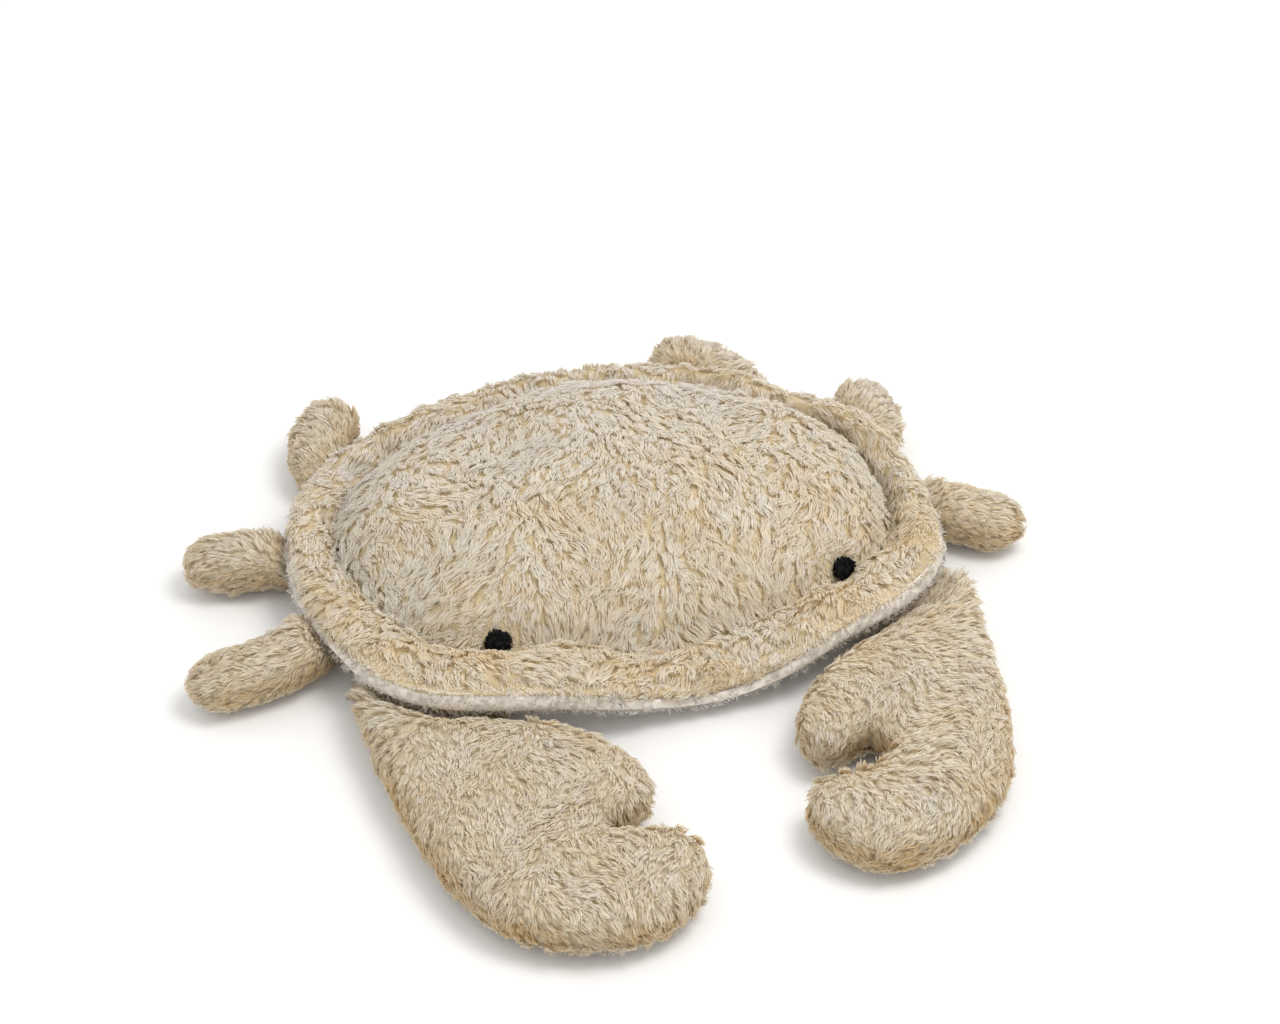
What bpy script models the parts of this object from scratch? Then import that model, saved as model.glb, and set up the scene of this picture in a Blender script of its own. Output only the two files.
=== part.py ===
# Stuffed crab heat pillow: a plush crab with a quilted shell, two claws and six legs,
# and a grain heat pack behind a slit in its underside. Metres, +Z up. The crab faces -Y
# and rests on the flat middle of its underside, whose centre is the origin. Angles on
# the shell are in degrees, counted from +X towards +Y.

import math

import bmesh
import bpy
from mathutils import Vector
from mathutils.bvhtree import BVHTree

# Shell outline, seen from above
SHELL_HALF_WIDTH = 0.176
SHELL_HALF_DEPTH = 0.147
SHOULDER_FULLNESS = 0.025
SHOULDER_ANGLE = -40.0
SHOULDER_SPREAD = 18.5
REAR_FLATTENING = 0.008
REAR_ANGLE = 62.0
REAR_SPREAD = 18.0
SIDEWAYS_LEAN = 0.030
TUCK_DEPTH = 0.010
TUCK_ANGLE = 32.0
TUCK_SPREAD = 20.0

# Shell heights
CROWN_HEIGHT = 0.067
CROWN_ROUNDNESS_FRONT = 0.57
CROWN_ROUNDNESS_BACK = 0.41
BORDER_WIDTH_FRONT = 0.040
BORDER_WIDTH_BACK = 0.027
BORDER_EXTRA_LEFT = 0.017
BORDER_EXTRA_SPREAD = 22.0
BORDER_LESS_RIGHT = 0.010
BORDER_LESS_ANGLE = -8.0
BORDER_LESS_SPREAD = 24.0
BORDER_HEIGHT = 0.0215
BORDER_ROUNDNESS = 0.8
RIM_SEAM_HEIGHT = 0.0090
ROLL_FLANK = 0.0010
LIFT_FRONT = 0.005
LIFT_BACK = 0.010
LIFT_SIDES = 0.018
LIFT_CLAWS = 0.006
UNDERSIDE_RISE = 0.074

# Soft undulations of the padded crown: direction, wavelength, height and phase of each wave
CROWN_WAVES = [
    (20.0, 0.112, 0.0015, 40.0),
    (82.0, 0.088, 0.0013, 150.0),
    (138.0, 0.074, 0.0011, 300.0),
    (52.0, 0.060, 0.0007, 210.0),
]
WAVES_FADE = 0.30

# Fabric walls, each with its pile
PLUSH_THICKNESS = 0.0070
UNDERSIDE_THICKNESS = 0.0030
FABRIC_GAP = 0.0006
QUILTING_GAP = 0.0014
RIM_SETBACK = 0.0008

# Wadding, loosely packed in the walls
WADDING_GAP = 0.0020
WADDING_FILL = 0.60
WADDING_DROP = 0.0095
WADDING_FLOOR_SHARE = 0.55

# Heat pack and the closure of the slit it goes in by
PACK_HALF_WIDTH = 0.105
PACK_HALF_DEPTH = 0.085
PACK_THICKNESS = 0.026
SLIT_LENGTH = 0.125
SLIT_WIDTH = 0.0012
SLIT_FROM_CENTRE = 0.018
STRIP_WIDTH = 0.020
STRIP_OVERHANG = 0.006
STRIP_THICKNESS = 0.0013
TOUCH_GAP = 0.0003

# Eyes, set in from the quilting seam
EYE_RADIUS = 0.0068
EYE_THICKNESS = 0.0030
EYE_ANGLE_LEFT = 221.5
EYE_ANGLE_RIGHT = -43.5
EYE_FROM_SEAM = 0.0100
EYE_SEAT_GAP = 0.0010

# Legs: each runs through points given as an angle and a distance outside the rim
LEG_HALF_WIDTH = 0.0180
LEG_HALF_HEIGHT = 0.0160
LEG_ROOT_SIZE = 0.82
FLOOR_GAP = 0.0004
LEG_PATHS = {
    "leg_left_front": [(180.0, -0.034), (187.8, -0.009), (192.8, 0.015), (193.4, 0.038), (192.8, 0.060)],
    "leg_left_middle": [(167.0, -0.030), (167.4, -0.002), (168.2, 0.020), (168.0, 0.039)],
    "leg_left_back": [(148.0, -0.026), (142.3, 0.004), (136.2, 0.024), (129.6, 0.036)],
    "leg_right_back": [(36.0, -0.026), (43.5, 0.001), (50.0, 0.016), (58.0, 0.024)],
    "leg_right_middle": [(6.5, -0.030), (9.5, -0.010), (15.6, 0.012), (21.0, 0.023)],
    "leg_right_front": [(-8.0, -0.026), (-9.6, -0.003), (-14.3, 0.018), (-16.4, 0.033)],
}

# Claws: outlines in metres from the rim point at the claw's angle, x then y
CLAW_THICKNESS = 0.036
CLAW_EDGE_ROUND = 0.015
CLAW_SEAM_DEPTH = 0.0015
CLAW_SHOULDER = 0.86
CLAW_DOME_REACH = 0.028
CLAW_GRID = 0.014
CLAWS = {
    "claw_left": {
        "angle": 228.0,
        "outline": [
            (-0.042, 0.070), (-0.055, 0.037), (-0.058, -0.008), (-0.056, -0.062), (-0.050, -0.108),
            (-0.037, -0.142), (-0.013, -0.165), (0.020, -0.176), (0.050, -0.170), (0.072, -0.151),
            (0.078, -0.130), (0.068, -0.115), (0.050, -0.109), (0.028, -0.101), (0.050, -0.093),
            (0.069, -0.079), (0.067, -0.058), (0.053, -0.032), (0.032, -0.014), (0.018, -0.001),
            (0.024, 0.022), (0.000, 0.046),
        ],
    },
    "claw_right": {
        "angle": -47.0,
        "outline": [
            (0.004, 0.038), (-0.019, 0.010), (-0.024, -0.008), (-0.047, -0.018), (-0.069, -0.033),
            (-0.086, -0.053), (-0.092, -0.072), (-0.086, -0.086), (-0.070, -0.087), (-0.058, -0.080),
            (-0.048, -0.085), (-0.055, -0.101), (-0.068, -0.110), (-0.086, -0.109), (-0.103, -0.113),
            (-0.110, -0.135), (-0.099, -0.160), (-0.076, -0.174), (-0.048, -0.171), (-0.020, -0.155),
            (0.003, -0.130), (0.016, -0.101), (0.024, -0.073), (0.030, -0.038), (0.038, -0.009),
            (0.042, 0.027), (0.026, 0.054),
        ],
    },
}

# Where a limb swells up again beside the border's roll
ROLL_CLEARANCE = 0.0037
ROLL_SHADOW = 0.014

# Fineness of the meshes
SHELL_STEPS = 44
PACK_STEPS = 28
EYE_STEPS = 16
LEG_SIDES = 12
LEG_STEPS = 9
CLAW_POINTS = 44

COLOURS = {
    "beige_plush": (0.62, 0.49, 0.32),
    "white_plush": (0.84, 0.79, 0.71),
    "wadding": (0.90, 0.90, 0.88),
    "cotton": (0.78, 0.72, 0.60),
    "closure_tape": (0.80, 0.76, 0.68),
    "black_felt": (0.010, 0.009, 0.009),
}


def smooth_step(value):
    """Ease from 0 to 1 as value goes from 0 to 1."""
    value = min(1.0, max(0.0, value))
    return value * value * (3.0 - 2.0 * value)


def bump(angle, centre, spread):
    """A round bump of height 1 at centre, in degrees."""
    return math.exp(-(((angle - centre) / spread) ** 2))


def folded(angle):
    """The same place on the right-hand half, in degrees from -90 to 90."""
    turn = math.radians(angle)
    return math.degrees(math.atan2(math.sin(turn), abs(math.cos(turn))))


def rim_radius(angle):
    """Distance from the shell's centre to its rim."""
    turn = math.radians(angle)
    side = folded(angle)
    radius = 1.0 / math.hypot(math.cos(turn) / SHELL_HALF_WIDTH, math.sin(turn) / SHELL_HALF_DEPTH)
    radius += SHOULDER_FULLNESS * bump(side, SHOULDER_ANGLE, SHOULDER_SPREAD)
    radius -= REAR_FLATTENING * bump(side, REAR_ANGLE, REAR_SPREAD)
    if math.cos(turn) > 0.0:
        radius -= TUCK_DEPTH * bump(side, TUCK_ANGLE, TUCK_SPREAD)
    return radius * (1.0 - SIDEWAYS_LEAN * math.cos(turn))


def border_width(angle):
    """Width of the quilted border between the rim and the quilting seam."""
    turn = math.radians(angle)
    front = smooth_step((0.35 - math.sin(turn)) / 1.1)
    width = BORDER_WIDTH_BACK + (BORDER_WIDTH_FRONT - BORDER_WIDTH_BACK) * front
    if math.cos(turn) < 0.0:
        return width + BORDER_EXTRA_LEFT * bump(folded(angle), SHOULDER_ANGLE, BORDER_EXTRA_SPREAD)
    return width - BORDER_LESS_RIGHT * bump(folded(angle), BORDER_LESS_ANGLE, BORDER_LESS_SPREAD)


def rim_lift(angle):
    """Height at which the border lies on the limbs below it."""
    turn = math.radians(angle)
    ends = LIFT_FRONT if math.sin(turn) < 0.0 else LIFT_BACK
    sides = smooth_step(abs(math.cos(turn)) / 0.55)
    lift = ends + (LIFT_SIDES - ends) * sides
    return lift + LIFT_CLAWS * bump(folded(angle), SHOULDER_ANGLE, SHOULDER_SPREAD)


def underside_height(angle, inset):
    """Height of the underside's lower face, inset metres inside the rim."""
    lift = rim_lift(angle)
    turn_in = RIM_SEAM_HEIGHT
    if inset < turn_in:
        edge = 1.0 - max(0.0, inset) / turn_in
        return lift + RIM_SEAM_HEIGHT * (1.0 - math.sqrt(max(0.0, 1.0 - edge * edge)))
    return lift * smooth_step(1.0 - (inset - turn_in) / (UNDERSIDE_RISE - turn_in))


def seam_height(angle):
    """Height of the plush at the bottom of the quilting seam."""
    return underside_height(angle, border_width(angle)) + UNDERSIDE_THICKNESS + QUILTING_GAP + PLUSH_THICKNESS


def crown_waves(x, y):
    """How far the padding swells or sinks the crown at a place."""
    swell = 0.0
    for direction, wavelength, height, phase in CROWN_WAVES:
        turn = math.radians(direction)
        along = (x * math.cos(turn) + y * math.sin(turn)) / wavelength
        swell += height * math.sin(math.tau * along + math.radians(phase))
    return swell


def crown_height(angle, inwards):
    """Height of the plush between the quilting seam (0) and the centre (1)."""
    low = seam_height(angle)
    turn = math.radians(angle)
    back = smooth_step(0.5 + math.sin(turn))
    roundness = CROWN_ROUNDNESS_FRONT + (CROWN_ROUNDNESS_BACK - CROWN_ROUNDNESS_FRONT) * back
    rise = (1.0 - (1.0 - inwards) ** 2) ** roundness
    radius = (rim_radius(angle) - border_width(angle)) * (1.0 - inwards)
    swell = crown_waves(radius * math.cos(turn), radius * math.sin(turn))
    return low + (CROWN_HEIGHT - low) * rise + swell * smooth_step(inwards / WAVES_FADE)


def rim_point(angle, outside, height=0.0):
    """A point outside metres beyond the rim."""
    turn = math.radians(angle)
    reach = rim_radius(angle) + outside
    return Vector((reach * math.cos(turn), reach * math.sin(turn), height))


def polar(point):
    """Angle in degrees, and distance inside the rim."""
    angle = math.degrees(math.atan2(point.y, point.x))
    return angle, rim_radius(angle) - math.hypot(point.x, point.y)


def headroom(point, underside):
    """Free height over the floor, below the underside or beside the border's roll."""
    hit = underside.ray_cast(Vector((point.x, point.y, -0.01)), Vector((0.0, 0.0, 1.0)))[0]
    angle, inset = polar(point)
    low = rim_lift(angle) - FABRIC_GAP
    if hit is not None:
        return min(low, hit.z - FABRIC_GAP)
    away = min(1.0, max(0.0, -inset - ROLL_CLEARANCE) / ROLL_SHADOW)
    return low + (CLAW_THICKNESS + FLOOR_GAP - low) * math.sqrt(1.0 - (1.0 - away) ** 2)


def material(name):
    """The named material, made when it is first asked for."""
    made = bpy.data.materials.get(name)
    if made is None:
        made = bpy.data.materials.new(name)
        made.use_nodes = True
        shader = made.node_tree.nodes["Principled BSDF"]
        shader.inputs["Base Color"].default_value = (*COLOURS[name], 1.0)
        shader.inputs["Roughness"].default_value = 0.9
        shader.inputs["Metallic"].default_value = 0.0
        made.diffuse_color = (*COLOURS[name], 1.0)
    return made


def add_object(name, mesh, finish, group="stuffed_crab_heat_pillow"):
    """Put a mesh into the scene as the named part."""
    collection = bpy.data.collections.get(group)
    if collection is None:
        collection = bpy.data.collections.new(group)
        bpy.context.scene.collection.children.link(collection)
    thing = bpy.data.objects.new(name, mesh)
    collection.objects.link(thing)
    mesh.materials.clear()
    mesh.materials.append(material(finish))
    return thing


def remove_all():
    for thing in list(bpy.data.objects):
        bpy.data.objects.remove(thing, do_unlink=True)


def turned_mesh(name, profile, steps, closed=False):
    """Turn a profile of (radius, height) points about Z into a mesh."""
    count = len(profile)
    edges = [(i, i + 1) for i in range(count - 1)]
    if closed:
        edges.append((count - 1, 0))
    line = bpy.data.meshes.new(name + "_profile")
    line.from_pydata([(radius, 0.0, height) for radius, height in profile], edges, [])
    turned = bpy.data.objects.new(name + "_turned", line)
    bpy.context.scene.collection.objects.link(turned)
    screw = turned.modifiers.new("turn", "SCREW")
    screw.steps = steps
    screw.render_steps = steps
    screw.use_merge_vertices = True
    screw.merge_threshold = 0.00002
    screw.use_normal_calculate = True
    view = bpy.context.evaluated_depsgraph_get()
    mesh = bpy.data.meshes.new_from_object(turned.evaluated_get(view))
    mesh.name = name
    bpy.data.objects.remove(turned, do_unlink=True)
    bpy.data.meshes.remove(line)
    return mesh


def point_faces_outwards(mesh):
    """Close a mesh's poles and turn all its faces outwards."""
    work = bmesh.new()
    work.from_mesh(mesh)
    bmesh.ops.remove_doubles(work, verts=work.verts, dist=0.00002)
    bmesh.ops.recalc_face_normals(work, faces=work.faces)
    if work.calc_volume(signed=True) < 0.0:
        bmesh.ops.reverse_faces(work, faces=work.faces)
    work.to_mesh(mesh)
    work.free()


def plush_point(kind, along, angle):
    """A point of the plush's pile, on the crown or on the border's roll."""
    seam = rim_radius(angle) - border_width(angle)
    turn = math.radians(angle)
    if kind == "crown":
        radius = seam * (1.0 - along)
        height = crown_height(angle, along)
    else:
        inset, height = border_roll(along, angle)
        radius = rim_radius(angle) - inset
    return Vector((radius * math.cos(turn), radius * math.sin(turn), height))


def border_roll(along, angle):
    """The border's roll, from the quilting seam (0) over its top to the rim seam (1)."""
    width = border_width(angle)
    low = seam_height(angle)
    lip = rim_lift(angle) + RIM_SEAM_HEIGHT + FABRIC_GAP
    top = rim_lift(angle) + BORDER_HEIGHT
    turn = math.pi * along
    centre = 0.5 * width
    across = max(0.0, centre + (centre + ROLL_FLANK) * math.cos(turn))
    base = low if along < 0.5 else lip
    return across, base + (top - base) * math.sin(turn) ** BORDER_ROUNDNESS


def shell_sheet():
    """The plush's outer face: the crown and the border's roll around it."""
    crown = [1.0, 0.86, 0.72, 0.58, 0.44, 0.31, 0.20, 0.11, 0.04, 0.0]
    roll = [0.12, 0.24, 0.40, 0.58, 0.76, 0.90, 1.0]
    rows = [("crown", along) for along in crown] + [("border", along) for along in roll]
    mesh = turned_mesh("carapace_top", [(float(i), -float(i)) for i in range(len(rows))], SHELL_STEPS)
    for vertex in mesh.vertices:
        row = round(math.hypot(vertex.co.x, vertex.co.y))
        angle = math.degrees(math.atan2(vertex.co.y, vertex.co.x)) if row else 0.0
        kind, along = rows[row]
        vertex.co = plush_point(kind, along, angle)
    return mesh


def build_carapace_top():
    mesh = shell_sheet()
    for vertex in mesh.vertices:
        if vertex.co.xy.length < 0.00001:
            vertex.co = (0.0, 0.0, CROWN_HEIGHT + crown_waves(0.0, 0.0))
    shell = add_object("carapace_top", mesh, "beige_plush")
    wall = shell.modifiers.new("plush", "SOLIDIFY")
    wall.thickness = PLUSH_THICKNESS
    wall.offset = -1.0
    return shell


def underside_inset(kind, share, angle):
    """Distance inside the rim of a row of the underside's points."""
    width = border_width(angle)
    if kind == "turn-in":
        return share * RIM_SEAM_HEIGHT
    if kind == "border":
        return RIM_SEAM_HEIGHT + share * (width - RIM_SEAM_HEIGHT)
    return width + share * (UNDERSIDE_RISE - width)


def build_carapace_underside():
    rows = [("turn-in", 0.0), ("turn-in", 0.1), ("turn-in", 0.35), ("turn-in", 1.0), ("border", 0.5)]
    rows += [("border", 1.0), ("middle", 0.3), ("middle", 0.65), ("middle", 1.0)]
    profile = [(float(len(rows) - i), float(-i)) for i in range(len(rows))]
    mesh = turned_mesh("carapace_underside", profile, SHELL_STEPS)
    for vertex in mesh.vertices:
        kind, share = rows[len(rows) - round(math.hypot(vertex.co.x, vertex.co.y))]
        angle = math.degrees(math.atan2(vertex.co.y, vertex.co.x))
        inset = underside_inset(kind, share, angle)
        point = rim_point(angle, -max(0.0, inset - ROLL_FLANK) - RIM_SETBACK)
        vertex.co = (point.x, point.y, underside_height(angle, inset))
    work = bmesh.new()
    work.from_mesh(mesh)
    flat_rim = [edge for edge in work.edges if edge.is_boundary and edge.verts[0].co.z < 0.0001]
    bmesh.ops.contextual_create(work, geom=flat_rim)
    bmesh.ops.recalc_face_normals(work, faces=work.faces)
    if max(work.faces, key=lambda face: len(face.verts)).normal.z > 0.0:
        bmesh.ops.reverse_faces(work, faces=work.faces)
    work.to_mesh(mesh)
    work.free()
    panel = add_object("carapace_underside", mesh, "white_plush")
    wall = panel.modifiers.new("fabric", "SOLIDIFY")
    wall.thickness = UNDERSIDE_THICKNESS
    wall.offset = -1.0
    cut = panel.modifiers.new("slit", "BOOLEAN")
    cut.operation = "DIFFERENCE"
    cut.object = slit_cutter()
    return panel


def box_object(name, size, centre, finish, group="stuffed_crab_heat_pillow"):
    """A rectangular block."""
    mesh = bpy.data.meshes.new(name)
    work = bmesh.new()
    bmesh.ops.create_cube(work, size=1.0)
    bmesh.ops.scale(work, vec=Vector(size), verts=work.verts)
    work.to_mesh(mesh)
    work.free()
    block = add_object(name, mesh, finish, group)
    block.location = centre
    return block


def slit_cutter():
    size = (SLIT_LENGTH, SLIT_WIDTH, 4.0 * UNDERSIDE_THICKNESS)
    cutter = box_object("slit_cutter", size, (0.0, SLIT_FROM_CENTRE, 0.0), "white_plush", "cutters")
    cutter.hide_render = True
    cutter.display_type = "WIRE"
    return cutter


def strip_level(index):
    """Height of the lower face of a closure strip, counted from the panel up."""
    return UNDERSIDE_THICKNESS + TOUCH_GAP + index * (STRIP_THICKNESS + TOUCH_GAP)


def build_closure_strips():
    size = (SLIT_LENGTH + 2.0 * STRIP_OVERHANG, STRIP_WIDTH, STRIP_THICKNESS)
    for index, name in enumerate(("closure_hook_strip", "closure_loop_strip")):
        centre = (0.0, SLIT_FROM_CENTRE, strip_level(index) + 0.5 * STRIP_THICKNESS)
        box_object(name, size, centre, "closure_tape")


def oval(angle, half_width, half_depth):
    """Radius of an oval at an angle."""
    turn = math.radians(angle)
    return 1.0 / math.hypot(math.cos(turn) / half_width, math.sin(turn) / half_depth)


def build_heat_pack():
    """A flat oval bag with a sewn edge, filled with grain."""
    bottom = strip_level(2)
    top = bottom + PACK_THICKNESS
    edge = bottom + 0.38 * PACK_THICKNESS
    rows = [
        (0.0, top), (0.45, top - 0.001), (0.75, top - 0.004), (0.92, top - 0.010), (1.0, edge),
        (0.94, bottom + 0.003), (0.80, bottom), (0.0, bottom),
    ]
    mesh = turned_mesh("heat_pack", rows, PACK_STEPS)
    for vertex in mesh.vertices:
        share = math.hypot(vertex.co.x, vertex.co.y)
        angle = math.degrees(math.atan2(vertex.co.y, vertex.co.x)) if share > 0.001 else 0.0
        turn = math.radians(angle)
        reach = share * oval(angle, PACK_HALF_WIDTH, PACK_HALF_DEPTH)
        vertex.co.x = reach * math.cos(turn)
        vertex.co.y = reach * math.sin(turn)
    point_faces_outwards(mesh)
    return add_object("heat_pack", mesh, "cotton")


def build_body_wadding():
    """Wadding between the crown and the heat pack, closed down to the quilting seam."""
    top_rows = [1.0, 0.86, 0.72, 0.58, 0.44, 0.31, 0.23]
    pack_top = strip_level(2) + PACK_THICKNESS + FABRIC_GAP
    under_rows = [(0.20, "floor"), (0.30, "floor"), (0.36, "pack"), (1.0, "pack")]
    rows = [("crown", along) for along in top_rows] + [(kind, along) for along, kind in under_rows]
    mesh = turned_mesh("body_wadding", [(float(i), -float(i)) for i in range(len(rows))], PACK_STEPS)
    for vertex in mesh.vertices:
        row = round(math.hypot(vertex.co.x, vertex.co.y))
        angle = math.degrees(math.atan2(vertex.co.y, vertex.co.x)) if row else 0.0
        kind, along = rows[row]
        point = plush_point("crown", along, angle)
        if kind == "crown":
            point.z -= WADDING_DROP
        elif kind == "floor":
            point.z = WADDING_FLOOR_SHARE * point.z
        else:
            point.z = pack_top
        vertex.co = point
    point_faces_outwards(mesh)
    return add_object("body_wadding", mesh, "wadding")


def build_border_wadding():
    """The padding ring in the border's roll."""
    sides = 8
    mesh = turned_mesh(
        "border_wadding",
        [(4.0 + math.cos(math.tau * i / sides), math.sin(math.tau * i / sides)) for i in range(sides)],
        PACK_STEPS, closed=True,
    )
    for vertex in mesh.vertices:
        across = math.hypot(vertex.co.x, vertex.co.y) - 4.0
        angle = math.degrees(math.atan2(vertex.co.y, vertex.co.x))
        low = rim_lift(angle) + UNDERSIDE_THICKNESS + WADDING_GAP
        high = rim_lift(angle) + BORDER_HEIGHT - PLUSH_THICKNESS - WADDING_GAP
        half_width = WADDING_FILL * (0.5 * border_width(angle) - PLUSH_THICKNESS)
        point = rim_point(angle, -0.5 * border_width(angle) + across * half_width)
        vertex.co = (point.x, point.y, 0.5 * (low + high) + vertex.co.z * 0.5 * (high - low))
    point_faces_outwards(mesh)
    return add_object("border_wadding", mesh, "wadding")


def leg_section(path, along):
    """A point on the smooth line through a leg's path, along from 0 to 1."""
    span = along * (len(path) - 1)
    index = min(int(span), len(path) - 2)
    part = span - index
    before = path[max(0, index - 1)]
    start, end = path[index], path[index + 1]
    after = path[min(len(path) - 1, index + 2)]
    return 0.5 * (
        2.0 * start
        + (end - before) * part
        + (2.0 * before - 5.0 * start + 4.0 * end - after) * part ** 2
        + (3.0 * start - before - 3.0 * end + after) * part ** 3
    )


def press_down(mesh, root_height):
    """Flatten a limb where the shell lies on it, and stand it just clear of the floor."""
    panel = bpy.data.objects["carapace_underside"]
    underside = BVHTree.FromObject(panel, bpy.context.evaluated_depsgraph_get())
    for vertex in mesh.vertices:
        room = headroom(vertex.co, underside)
        share = min(1.0, (room - FLOOR_GAP) / root_height)
        vertex.co.z = min(room, FLOOR_GAP + (vertex.co.z - FLOOR_GAP) * share)


def build_leg(name):
    """A stuffed tube along its path, with a round foot, pressed flat at its root."""
    path = [rim_point(angle, outside, LEG_HALF_HEIGHT + FLOOR_GAP) for angle, outside in LEG_PATHS[name]]
    curve = bpy.data.curves.new(name, "CURVE")
    curve.dimensions = "3D"
    curve.bevel_depth = LEG_HALF_WIDTH
    curve.bevel_resolution = (LEG_SIDES - 4) // 4 + 1
    curve.use_fill_caps = True
    line = curve.splines.new("POLY")
    stations = [leg_section(path, i / (LEG_STEPS - 1)) for i in range(LEG_STEPS)]
    ahead = (stations[-1] - stations[-2]).normalized()
    foot = [(0.45, 0.90), (0.78, 0.64), (0.97, 0.24)]
    radii = [LEG_ROOT_SIZE, 0.5 * (1.0 + LEG_ROOT_SIZE)] + [1.0] * (LEG_STEPS - 2) + [size for _, size in foot]
    stations += [stations[-1] + ahead * (reach * LEG_HALF_WIDTH) for reach, _ in foot]
    line.points.add(len(stations) - 1)
    for point, place, size in zip(line.points, stations, radii):
        point.co = (*place, 1.0)
        point.radius = size
    holder = bpy.data.objects.new(name + "_line", curve)
    bpy.context.scene.collection.objects.link(holder)
    view = bpy.context.evaluated_depsgraph_get()
    mesh = bpy.data.meshes.new_from_object(holder.evaluated_get(view))
    mesh.name = name
    bpy.data.objects.remove(holder, do_unlink=True)
    work = bmesh.new()
    work.from_mesh(mesh)
    bmesh.ops.remove_doubles(work, verts=work.verts, dist=0.00002)
    work.to_mesh(mesh)
    work.free()
    middle = LEG_HALF_HEIGHT + FLOOR_GAP
    for vertex in mesh.vertices:
        vertex.co.z = middle + (vertex.co.z - middle) * LEG_HALF_HEIGHT / LEG_HALF_WIDTH
    press_down(mesh, (1.0 + LEG_ROOT_SIZE) * LEG_HALF_HEIGHT)
    point_faces_outwards(mesh)
    return add_object(name, mesh, "beige_plush")


def smooth_outline(points, count):
    """Evenly spaced points on the closed smooth line through the given points."""
    fine = []
    total = len(points)
    for index in range(total):
        loop = [Vector((*points[(index + step) % total], 0.0)) for step in (-1, 0, 1, 2)]
        for part in (0.0, 0.25, 0.5, 0.75):
            fine.append(0.5 * (
                2.0 * loop[1]
                + (loop[2] - loop[0]) * part
                + (2.0 * loop[0] - 5.0 * loop[1] + 4.0 * loop[2] - loop[3]) * part ** 2
                + (3.0 * loop[1] - loop[0] - 3.0 * loop[2] + loop[3]) * part ** 3
            ))
    lengths = [(fine[(i + 1) % len(fine)] - fine[i]).length for i in range(len(fine))]
    step = sum(lengths) / count
    placed, walked, target = [], 0.0, 0.0
    for index, length in enumerate(lengths):
        while target < walked + length and len(placed) < count:
            share = (target - walked) / length
            placed.append(fine[index].lerp(fine[(index + 1) % len(fine)], share))
            target += step
        walked += length
    return placed


def cut_across(work, faces, place, direction):
    """Cut the given faces by a plane."""
    faces = list(faces)
    edges = list({edge for face in faces for edge in face.edges})
    verts = list({vertex for face in faces for vertex in face.verts})
    bmesh.ops.bisect_plane(work, geom=verts + edges + faces, plane_co=place, plane_no=direction)


def distance_to_outline(point, outline):
    """Distance in plan from a point to a closed outline."""
    flat = Vector((point.x, point.y, 0.0))
    nearest = math.inf
    for index, start in enumerate(outline):
        side = outline[(index + 1) % len(outline)] - start
        share = min(1.0, max(0.0, (flat - start).dot(side) / side.length_squared))
        nearest = min(nearest, (flat - start - side * share).length)
    return nearest


def nearest_in_order(inner, outer):
    """For each inner point, the outer point that it was moved in from."""
    return [min(outer, key=lambda item: (item.co - vertex.co).length) for vertex in inner]


def build_claw(name):
    """A flat stuffed pincer: its outline rises in rounded rings to a full top and bottom."""
    claw = CLAWS[name]
    anchor = rim_point(claw["angle"], 0.0)
    outline = [point + anchor for point in smooth_outline(claw["outline"], CLAW_POINTS)]
    half = 0.5 * CLAW_THICKNESS
    work = bmesh.new()
    loop = [work.verts.new(point) for point in outline]
    cap = work.faces.new(loop)
    work.normal_update()
    if cap.normal.z < 0.0:
        cap.normal_flip()
    bmesh.ops.inset_region(work, faces=[cap], thickness=CLAW_SEAM_DEPTH, use_even_offset=True, use_boundary=True)
    for inner, outer in zip(cap.verts, nearest_in_order(cap.verts, loop)):
        inner.co, outer.co = outer.co.copy(), inner.co.copy()
    rings = [(0.0, 0.30), (0.10, 0.50), (0.38, 0.73), (1.0, CLAW_SHOULDER)]
    bmesh.ops.translate(work, vec=(0.0, 0.0, rings[0][1] * half), verts=cap.verts)
    for (near, low), (far, high) in zip(rings, rings[1:]):
        width = (far - near) * CLAW_EDGE_ROUND
        bmesh.ops.inset_region(work, faces=[cap], thickness=width, use_even_offset=True, use_boundary=True)
        bmesh.ops.translate(work, vec=(0.0, 0.0, (high - low) * half), verts=cap.verts)
    level = CLAW_SHOULDER * half
    across = anchor.normalized()
    for step in range(-4, 5):
        cut_across(work, work.faces, anchor + across * (0.007 * step), across)
    for axis, start in ((0, min(point.x for point in outline)), (1, min(point.y for point in outline))):
        direction = Vector((1.0 - axis, float(axis), 0.0))
        extent = max(point[axis] for point in outline) - start
        for step in range(1, int(extent / CLAW_GRID)):
            flat = [item for item in work.faces if all(abs(v.co.z - level) < 0.00001 for v in item.verts)]
            cut_across(work, flat, direction * (start + step * CLAW_GRID), direction)
    for vertex in work.verts:
        if abs(vertex.co.z - level) < 0.00001:
            depth = distance_to_outline(vertex.co, outline) - CLAW_EDGE_ROUND
            vertex.co.z += (half - level) * math.sin(0.5 * math.pi * min(1.0, max(0.0, depth / CLAW_DOME_REACH)))
    copy = bmesh.ops.duplicate(work, geom=work.verts[:] + work.edges[:] + work.faces[:])
    lower = [item for item in copy["geom"] if isinstance(item, bmesh.types.BMVert)]
    bmesh.ops.scale(work, vec=(1.0, 1.0, -1.0), verts=lower)
    bmesh.ops.remove_doubles(work, verts=work.verts, dist=0.00002)
    bmesh.ops.translate(work, vec=(0.0, 0.0, half + FLOOR_GAP), verts=work.verts)
    mesh = bpy.data.meshes.new(name)
    work.to_mesh(mesh)
    work.free()
    press_down(mesh, half + level)
    point_faces_outwards(mesh)
    return add_object(name, mesh, "beige_plush")


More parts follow.
